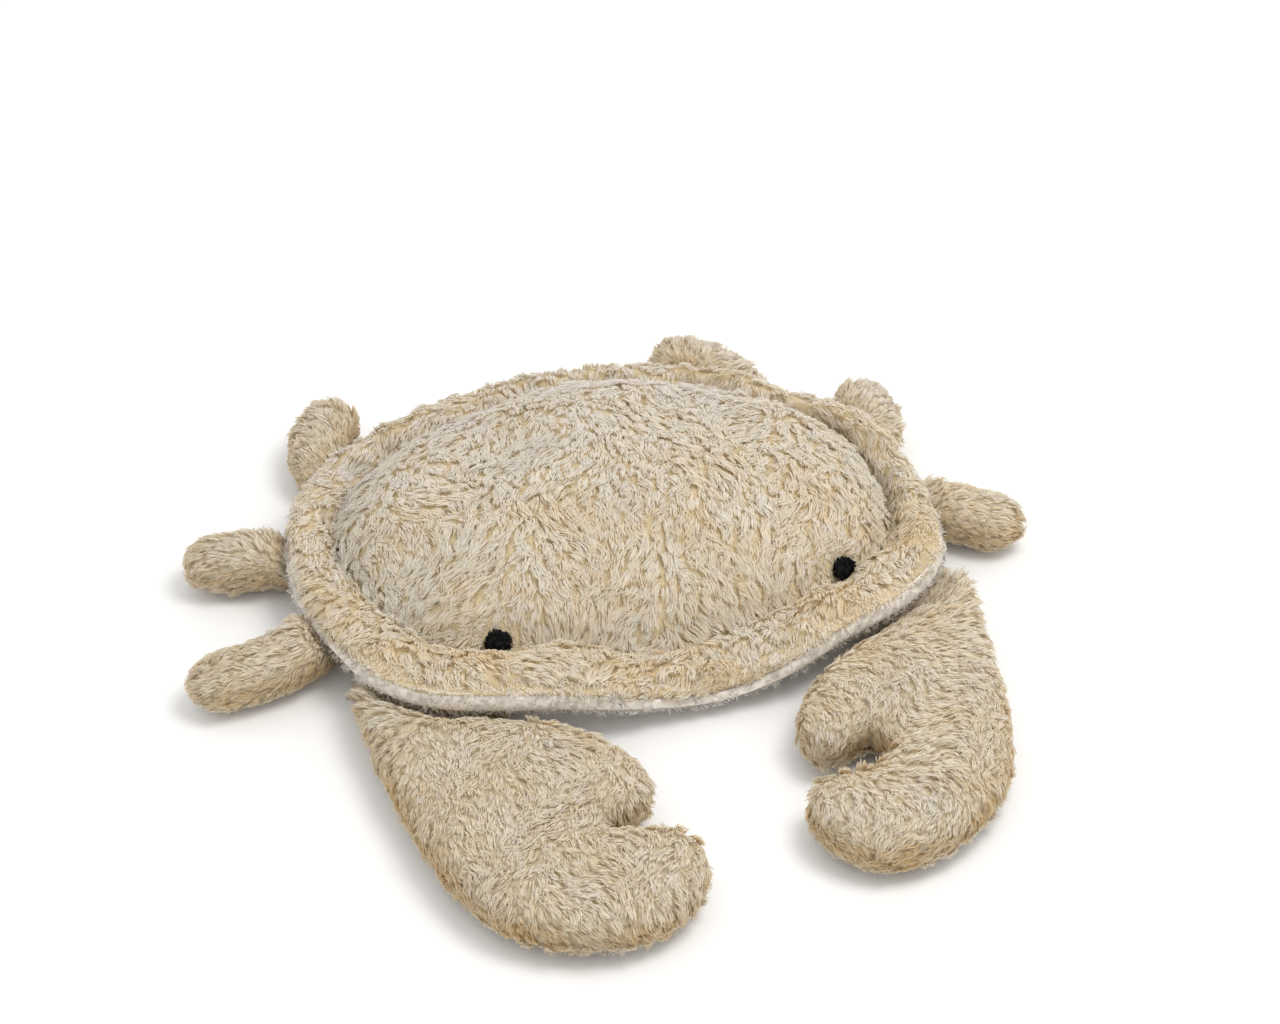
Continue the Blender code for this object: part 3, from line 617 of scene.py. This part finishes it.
def strandMesh(name, rings, widths, sides, cells, softNormals, roundness):
    # every strand is a narrow bent ribbon: a root point, pairs of edge points and a tip; no operator
    # makes tens of thousands of them with their own shading and tint, so their faces are listed here
    count, pairs = rings.shape[0], rings.shape[1] - 2
    corners = 2 + 2 * pairs
    vertices = np.empty((count, corners, 3))
    normals = np.repeat(softNormals[:, None], corners, axis=1)
    vertices[:, 0] = rings[:, 0]
    vertices[:, -1] = rings[:, -1]
    for pair in range(pairs):
        for k, sign in enumerate((-1.0, 1.0)):
            vertices[:, 1 + 2 * pair + k] = rings[:, 1 + pair] + sign * sides * widths[:, pair, None]
            normals[:, 1 + 2 * pair + k] += sign * sides * roundness
    heights = [(p + 1.0) / (pairs + 1.0) for p in range(pairs)]
    faces = [(0, 2, 1)]
    faceUv = [((0.5, 0.0), (1.0, heights[0]), (0.0, heights[0]))]
    for p in range(pairs - 1):
        low, high, below, above = 1 + 2 * p, 3 + 2 * p, heights[p], heights[p + 1]
        faces += [(low, low + 1, high + 1), (low, high + 1, high)]
        faceUv += [((0.0, below), (1.0, below), (1.0, above)), ((0.0, below), (1.0, above), (0.0, above))]
    faces.append((corners - 3, corners - 2, corners - 1))
    faceUv.append(((0.0, heights[-1]), (1.0, heights[-1]), (0.5, 1.0)))
    faces, faceUv = np.array(faces), np.array(faceUv)
    loops = (faces[None] + (np.arange(count) * corners)[:, None, None]).reshape(-1)
    vertices[..., 2] = np.maximum(vertices[..., 2], fibre["lowest"])
    mesh = bpy.data.meshes.new(name)
    mesh.vertices.add(count * corners)
    mesh.vertices.foreach_set("co", vertices.ravel())
    mesh.loops.add(len(loops))
    mesh.loops.foreach_set("vertex_index", loops)
    total = count * len(faces)
    mesh.polygons.add(total)
    mesh.polygons.foreach_set("loop_start", np.arange(total) * 3)
    mesh.polygons.foreach_set("use_smooth", np.ones(total, bool))
    mesh.update()
    uv = np.broadcast_to(faceUv[None], (count, len(faces), 3, 2)).copy()
    margin, end = fibre["uvMargin"], fibre["uvEnd"]
    uv[..., 0] = (cells[:, None, None] + margin + (1.0 - 2.0 * margin) * uv[..., 0]) / tintCount
    uv[..., 1] = end + (1.0 - 2.0 * end) * uv[..., 1]
    layer = mesh.uv_layers.new(name="OFBake")
    layer.data.foreach_set("uv", uv.ravel())
    mesh.normals_split_custom_set_from_vertices(unit(normals.reshape(-1, 3)))
    return mesh


def everywhere(points):
    return np.ones(len(points))


def growPile(name, skin, changes, comb, paint, weightOf, material, seed, trim=everywhere):
    # tufts first, then the strands that lean together into each of them
    pile = {**crabPile, **changes}
    dice = np.random.default_rng(seed)
    surface = surfaceOf(skin)
    weights = weightOf(surface["middles"])
    area = float((surface["areas"] * weights).sum()) * 1e6
    tries = int(area / pile["tuftGap"] ** 2 * fibre["tuftTries"] * 1e-6) + 50
    candidates, candidateNormals = scattered(surface, np.minimum(weights, 1.0) ** 0.5, tries, dice)
    kept = spaced(candidates, pile["tuftGap"] * fibre["tuftSpacing"])
    centres, up = candidates[kept], candidateNormals[kept]
    flow = comb(centres, up)
    flow = unit(flow - (flow * up).sum(axis=1, keepdims=True) * up)
    sideways = np.cross(up, flow)
    swerve = dice.normal(0.0, pile["swerve"], len(centres))
    flow = flow * np.cos(swerve)[:, None] + sideways * np.sin(swerve)[:, None]
    sideways = np.cross(up, flow)
    length = pile["length"] * dice.uniform(*fibre["tuftLength"], len(centres)) * trim(centres)
    rise = np.clip(dice.normal(pile["rise"], pile["riseSpread"], len(centres)), *fibre["riseLimits"])
    curl = dice.normal(0.0, pile["curl"], len(centres))
    reach = flow * (length * np.cos(rise))[:, None]
    tips = centres + reach + up * (length * np.sin(rise))[:, None]

    count = int(area * pile["density"])
    roots, normals = scattered(surface, weights, count, dice)
    tuft = nearestOf(centres, roots)
    strandLength = dice.uniform(*fibre["strandLength"], count)
    own = roots + (reach[tuft] + normals * (length * np.sin(rise))[tuft][:, None])
    gather = pile["gather"] * dice.uniform(*fibre["strandGather"], count)[:, None]
    end = own * (1.0 - gather) + tips[tuft] * gather + dice.normal(0.0, pile["stray"], (count, 3))
    end = roots + (end - roots) * strandLength[:, None]
    axis = unit(end - roots)
    side = unit(np.cross(axis, normals))
    roll = dice.uniform(-fibre["strandRoll"], fibre["strandRoll"], count)[:, None]
    side = side * np.cos(roll) + np.cross(side, axis) * np.sin(roll)
    span = np.linalg.norm(end - roots, axis=1)
    stations = len(fibre["taper"])
    rings = [roots - normals * fibre["rootSink"]]
    for station in range(stations):
        t = (station + 1.0) / (stations + 1.0)
        arch = 4.0 * t * (1.0 - t)
        bow = normals * (span * pile["arch"] * arch)[:, None]
        bend = sideways[tuft] * (span * curl[tuft] * arch)[:, None]
        crimp = dice.normal(0.0, pile["crimp"], (count, 3))
        rings.append(roots + (end - roots) * t + bow + bend + crimp)
    rings.append(end)
    widths = pile["width"] * dice.uniform(*fibre["strandWidth"], (count, 1)) * np.array([fibre["taper"]])

    warmth, light = paint(roots, normals)
    hue = np.clip(np.floor(warmth * 3.0 + dice.normal(0.0, fibre["hueSpread"], count)), 0, 2)
    tuftLight = dice.normal(0.0, fibre["tuftShade"], len(centres))[tuft]
    light = light + tuftLight + dice.normal(0.0, fibre["strandShade"], count)
    shade = np.clip(np.floor(light * 5.0), 0, 4)
    soft = unit(normals + pile["lean"] * reach[tuft] / length[tuft][:, None])
    mesh = strandMesh(name, np.stack(rings, axis=1), widths, side, hue * 5 + shade, soft, pile["roundness"])
    print("pile", name, "tufts", len(centres), "strands", count, "faces", len(mesh.polygons))
    return meshObject(name, mesh, material)


def combFrom(centre, swirl):
    # a comb that strokes the fur away from a point
    centre = np.array(centre)

    def comb(points, normals):
        away = unit(points - centre)
        turn = waves(31, 0.07)(points) * swirl
        x = away[:, 0] * np.cos(turn) - away[:, 1] * np.sin(turn)
        y = away[:, 0] * np.sin(turn) + away[:, 1] * np.cos(turn)
        return np.stack([x, y, away[:, 2] - 0.2], axis=1)

    return comb


shellFur = {
    "comb": (-0.34, -0.94, 0.0),  # the fur lies towards the face
    "combOut": 0.55,              # and outwards at the border
    "combFall": -0.25,
    "combLevel": 0.75,            # at the rim it stands out level, so that the pale underside shows below it
    "rimReach": 0.014,
    "rimLeast": 0.34,             # share of the length that is left at the rim seam
    "rimGrowth": 0.012,
    "seamTrim": 0.12,
    "seamTrimWidth": 0.004,
    "eyeLeast": 0.40,
    "eyeReach": 0.012,
    "warmthFront": 0.74,
    "warmthBackLess": 0.44,
    "warmthBorderLess": 0.18,
    "lightCrown": 0.80,
    "lightBorderLess": 0.26,
    "quarters": [(-180, -90), (-90, 0), (0, 90), (90, 180)],
}
eye = {
    "spots": {"left": (-0.0945, -0.0835, 0.0275), "right": (0.0994, -0.0850, 0.0275)},
    "radius": 0.0066,
    "flatness": 0.26,
    "above": 0.0045,
    "clearing": 0.0088,
    "pile": {"length": 0.0017, "tuftGap": 0.0016, "width": 0.00018, "density": 4.5, "rise": 0.8,
             "riseSpread": 0.3, "swerve": 1.2, "curl": 0.4, "gather": 0.25, "stray": 0.0003},
}

top = buildShell()
faces = [tuple(face.vertices) for face in top.data.polygons]
skinTree = BVHTree.FromPolygons([vertex.co for vertex in top.data.vertices], faces)
eyeSeats = {side: skinTree.find_nearest(spot)[:2] for side, spot in eye["spots"].items()}
print("shell skin", len(top.data.polygons))
limbs = {node: buildLimb(node) for node in nodes if node.startswith(("leg_", "claw_"))}
print("limb skins", {name: len(skin.data.polygons) for name, skin in limbs.items()})


def fromEyes(points):
    away = [np.linalg.norm(points - np.array(seat), axis=1) for seat, facing in eyeSeats.values()]
    return np.min(away, axis=0)


def combShell(points, normals):
    turn = waves(11, 0.085)(points) * 0.55 + waves(12, 0.035)(points) * 0.25
    outward = unit(points * np.array([1.0, 1.0, 0.0]))
    edge = smoothStep((radiusOf(points) - 0.10) / 0.06)[:, None]
    base = np.array([shellFur["comb"]]) + outward * edge * shellFur["combOut"]
    x = base[:, 0] * np.cos(turn) - base[:, 1] * np.sin(turn)
    y = base[:, 0] * np.sin(turn) + base[:, 1] * np.cos(turn)
    degrees = degreesOf(points)
    atRim = smoothStep((0.010 - around(rimTable, degrees) + radiusOf(points)) / 0.008)
    low = smoothStep((liftAt(degrees) + rimSeamAt(degrees) + 0.008 - points[:, 2]) / 0.006)
    return np.stack([x, y, shellFur["combFall"] + shellFur["combLevel"] * atRim * low], axis=1)


def trimShell(points):
    # clipped short along the rim seam and round the eyes, and a little along the quilting
    degrees, radius = degreesOf(points), radiusOf(points)
    inset = around(rimTable, degrees) - radius
    above = points[:, 2] - liftAt(degrees) - rimSeamAt(degrees)
    rimTrim = np.clip(shellFur["rimLeast"] + above / shellFur["rimGrowth"], shellFur["rimLeast"], 1.0)
    seamAway = (radius - around(seamTable, degrees)) / shellFur["seamTrimWidth"]
    seamTrim = 1.0 - shellFur["seamTrim"] * np.exp(-seamAway ** 2)
    eyeGrowth = smoothStep((fromEyes(points) - 0.010) / shellFur["eyeReach"])
    eyeTrim = shellFur["eyeLeast"] + (1.0 - shellFur["eyeLeast"]) * eyeGrowth
    return np.where(inset < shellFur["rimReach"], rimTrim, 1.0) * seamTrim * eyeTrim


def paintShell(points, normals):
    # golden at the face, greyer towards the back
    back = smoothStep((points[:, 1] + 0.09) / 0.20)
    onBorder = smoothStep((radiusOf(points) - around(seamTable, degreesOf(points))) / 0.006)
    warmth = shellFur["warmthFront"] - shellFur["warmthBackLess"] * back
    warmth = warmth - shellFur["warmthBorderLess"] * onBorder * (1.0 - back) + 0.10 * waves(21, 0.06)(points)
    light = shellFur["lightCrown"] - shellFur["lightBorderLess"] * onBorder + 0.08 * waves(22, 0.05)(points)
    return np.clip(warmth, 0.0, 0.99), light


def paintLimbSideShade(points, normals):
    # painted shade: the sides, turned away from the light above, are drawn browner and darker
    side = 1.0 - np.abs(normals[:, 2])
    warmth = 0.42 + 0.30 * side + 0.12 * waves(23, 0.05)(points)
    light = 0.66 - 0.45 * side + 0.12 * waves(24, 0.04)(points)
    return np.clip(warmth, 0.0, 0.99), light


def limbWeight(points):
    return np.where(points[:, 2] > limb["floorSide"], 1.0, limb["floorShare"])


for index, (low, high) in enumerate(shellFur["quarters"]):
    def quarter(points, low=low, high=high):
        degrees = degreesOf(points)
        return ((degrees >= low) & (degrees < high) & (fromEyes(points) > eye["clearing"])).astype(float)

    fur = growPile("carapace_pile_%d" % (index + 1), top, {}, combShell, paintShell, quarter, creamPile,
                   100 + index, trimShell)
    finishPiece(fur)

applied(thickened(top, shell["wall"]))
finishPiece(top)
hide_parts("carapace_top")

for index, (node, skin) in enumerate(limbs.items()):
    low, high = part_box(node)
    centre = (low + high) / 2
    if node.startswith("claw"):
        comb = combFrom((centre.x * 0.80, centre.y * 0.62, 0.02), 0.7)   # fans out from the shell
    else:
        comb = combFrom((0.0, 0.0, 0.02), 0.4)
    fur = growPile(node + "_pile", skin, limb["pile"], comb, paintLimbSideShade, limbWeight, beigePile, 200 + index)
    finishPiece(fur)
    finishPiece(skin)
    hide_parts(node)

panel = {
    "rows": 30,
    "edgeRows": 8,
    "rowsEase": 0.7,
    "rise": 0.074,               # the panel starts to rise this far inside the rim
    "bulge": 0.0048,
    "above": 0.0004,
    "pileDepth": 0.0018,
    "thickness": 0.0012,
    "slit": (0.125, 0.0012, 0.02),
    "slitCentre": (0.0, 0.018, 0.0),
    "pileInset": 0.017,          # further in, the panel lies on the floor and goes without pile
    "pile": {"length": 0.0034, "tuftGap": 0.0030, "width": 0.00026, "density": 0.70, "rise": 0.75,
             "riseSpread": 0.25, "swerve": 0.9, "curl": 0.4, "gather": 0.30},
}


def panelPoint(row, degrees):
    # row 0 to 1 runs over the floor side from the middle to the turned-up edge, 1 to 2 up to the rim seam
    rim, lift, height = around(rimTable, degrees), liftAt(degrees), rimSeamAt(degrees)
    edge = shell["rimSeamHeight"]
    flat, turned = np.clip(row, 0.0, 1.0), np.clip(row - 1.0, 0.0, 1.0) * 0.5 * math.pi
    bulge = panel["bulge"] * np.sin(2.0 * turned)
    inset = np.where(row <= 1.0, edge + (rim - edge) * (1.0 - flat), edge * (1.0 - np.sin(turned)) - bulge)
    low = lift * smoothStep(1.0 - (inset - edge) / (panel["rise"] - edge))
    z = np.where(row <= 1.0, low, lift + height * (1.0 - np.cos(turned)))
    turn = np.radians(degrees)
    radius = rim - inset
    return np.stack([radius * np.cos(turn), radius * np.sin(turn), z + panel["above"]], axis=-1)


def buildPanel():
    rows, edgeRows = panel["rows"], panel["edgeRows"]
    sheet = spunSheet("underside_panel", rows + edgeRows + 1, shell["turns"], whiteBacking)
    where = pointsOf(sheet.data)
    index = where[:, 2]
    row = np.where(index <= rows, (index / rows) ** panel["rowsEase"], 1.0 + (index - rows) / edgeRows)
    setPoints(sheet.data, panelPoint(row, degreesOf(where)))
    faceSheet(sheet.data, False)
    depth = panel["pileDepth"] * smoothStep((row - 0.5) / 0.4)
    setPoints(sheet.data, pointsOf(sheet.data) - normalsOf(sheet.data) * depth[:, None])
    return smoothShaded(sheet)


def cutSlit(sheet):
    mesh = bpy.data.meshes.new("slit")
    work = bmesh.new()
    bmesh.ops.create_cube(work, size=1.0)
    bmesh.ops.scale(work, vec=panel["slit"], verts=work.verts)
    bmesh.ops.translate(work, vec=panel["slitCentre"], verts=work.verts)
    work.to_mesh(mesh)
    work.free()
    slit = meshObject("slit", mesh, whiteBacking)
    opening = sheet.modifiers.new("opening", "BOOLEAN")
    opening.operation = "DIFFERENCE"
    opening.object = slit
    applied(sheet)
    bpy.data.objects.remove(slit, do_unlink=True)


def nearRim(points):
    inset = around(rimTable, degreesOf(points)) - radiusOf(points)
    return (inset < panel["pileInset"]).astype(float)


def paintPanel(points, normals):
    return np.full(len(points), 0.2), 0.5 + 0.2 * waves(41, 0.04)(points)


under = buildPanel()
down = growPile("underside_pile", under, panel["pile"], combFrom((0.0, 0.0, 0.02), 2.5), paintPanel, nearRim,
                whitePile, 300)
finishPiece(down)
cutSlit(thickened(under, panel["thickness"]))
finishPiece(under)
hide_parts("carapace_underside")
print("underside panel", len(under.data.polygons))


def paintEye(points, normals):
    return np.full(len(points), 0.5), np.full(len(points), 0.5)


def buildEye(side, middle, facing):
    # a felt disc, domed, that lies on the slope of the crown
    mesh = bpy.data.meshes.new("eye_felt_" + side)
    work = bmesh.new()
    bmesh.ops.create_uvsphere(work, u_segments=24, v_segments=12, radius=eye["radius"])
    sortFaces(work)
    bmesh.ops.scale(work, vec=(1.0, 1.0, eye["flatness"]), verts=work.verts)
    bmesh.ops.rotate(work, matrix=facing.to_track_quat("Z", "Y").to_matrix(), verts=work.verts)
    bmesh.ops.translate(work, vec=middle + facing * eye["above"], verts=work.verts)
    work.to_mesh(mesh)
    work.free()
    return smoothShaded(meshObject("eye_felt_" + side, mesh, blackFelt))


for side, (middle, facing) in eyeSeats.items():
    felt = buildEye(side, middle, facing)
    fuzz = growPile("eye_fuzz_" + side, felt, eye["pile"], combFrom(tuple(middle), 0.5), paintEye,
                    everywhere, blackPile, 400)
    finishPiece(fuzz)
    finishPiece(felt)
    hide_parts("eye_" + side)

inside = {
    "belowSkin": 0.0040,
    "packCloth": 0.0009,         # thread spacing; the real 0.4 mm would be too fine to show
    "tapeCloth": 0.0006,
}
# polyester wadding, carded: white, matt and shapeless
wadding = knitMaterial("polyester_wadding", "#f4f3f0", "#e4e2dd")
# unbleached cotton, plain woven: a dull cream with a fine grid
calico = wovenMaterial("plain_woven_cotton", "#d9cfb8", "#c2b699", inside["packCloth"])
# nylon tape, woven with hooks and loops: beige, a little rough
tape = wovenMaterial("hook_and_loop_tape", "#cfc5b0", "#b8ad96", inside["tapeCloth"])


def buildWadding(node):
    # the padding is pressed down wherever it would reach the plush above it
    wad = copyOfNode(node + "_fill", node, wadding)
    points = pointsOf(wad.data)
    for index, point in enumerate(points):
        hit = skinTree.ray_cast(Vector((point[0], point[1], 0.2)), Vector((0.0, 0.0, -1.0)))[0]
        if hit is not None:
            points[index, 2] = min(point[2], hit.z - inside["belowSkin"])
    setPoints(wad.data, points)
    return smoothShaded(wad)


for node in ("body_wadding", "border_wadding"):
    wad = buildWadding(node)
    finishPiece(wad)
    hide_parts(node)

for node, cloth in (("heat_pack", calico), ("closure_hook_strip", tape), ("closure_loop_strip", tape)):
    nodes[node].data.materials.clear()
    nodes[node].data.materials.append(cloth)
print("eyes and filling done")

studio = {
    "floorHalf": 4.0,
    "floorZ": -0.0004,
    "floorShade": (0.86, 0.86, 0.86, 1.0),
    "worldStrength": 0.98,
    "lampSize": 0.9,
    "lampPower": 14.0,
    "lampPlace": (0.5, -0.5, 1.7),
    "lampColour": (1.0, 0.98, 0.95),
    "lens": 112.5,
    "elevation": 37.0,
    "azimuth": 19.3,
    "distance": 2.233,
    "lookAt": (0.0254, 0.0339, 0.0),
}


def placed(name, data, place, back):
    # an object that looks from its place against the direction back
    thing = bpy.data.objects.new(name, data)
    bpy.context.scene.collection.objects.link(thing)
    thing.location = place
    thing.rotation_mode = "QUATERNION"
    thing.rotation_quaternion = back.to_track_quat("Z", "Y")
    return thing


floorMesh = bpy.data.meshes.new("floor")
work = bmesh.new()
bmesh.ops.create_grid(work, x_segments=1, y_segments=1, size=studio["floorHalf"])
work.to_mesh(floorMesh)
work.free()
# uncoated paper: matt white, so that shadows stay soft
paper, paperTree = newMaterial("white_paper")
paperSurface = addNode(paperTree, "ShaderNodeBsdfPrincipled",
                       {"Base Color": studio["floorShade"], "Roughness": 0.9, "Specular IOR Level": 0.1})
addNode(paperTree, "ShaderNodeOutputMaterial", links={"Surface": paperSurface.outputs[0]})
floor = meshObject("floor", floorMesh, paper)
floor.location.z = studio["floorZ"]

world = bpy.data.worlds.new("studio")
bpy.context.scene.world = world
world.use_nodes = True
world.node_tree.nodes["Background"].inputs["Color"].default_value = (1.0, 1.0, 1.0, 1.0)
world.node_tree.nodes["Background"].inputs["Strength"].default_value = studio["worldStrength"]

light = bpy.data.lights.new("softbox", "AREA")
light.shape = "DISK"
light.size = studio["lampSize"]
light.energy = studio["lampPower"]
light.color = studio["lampColour"]
placed("softbox", light, studio["lampPlace"], Vector(studio["lampPlace"]))

camera = bpy.data.cameras.new("camera")
camera.lens = studio["lens"]
camera.sensor_width = 36.0
camera.clip_start = 0.05
camera.clip_end = 20.0
elevation, azimuth = math.radians(studio["elevation"]), math.radians(studio["azimuth"])
back = Vector((-math.cos(elevation) * math.sin(azimuth), -math.cos(elevation) * math.cos(azimuth),
               math.sin(elevation)))
view = placed("camera", camera, Vector(studio["lookAt"]) + back * studio["distance"], back)
bpy.context.scene.camera = view
bpy.context.scene.view_settings.view_transform = "Standard"
print("floor, light and camera done")
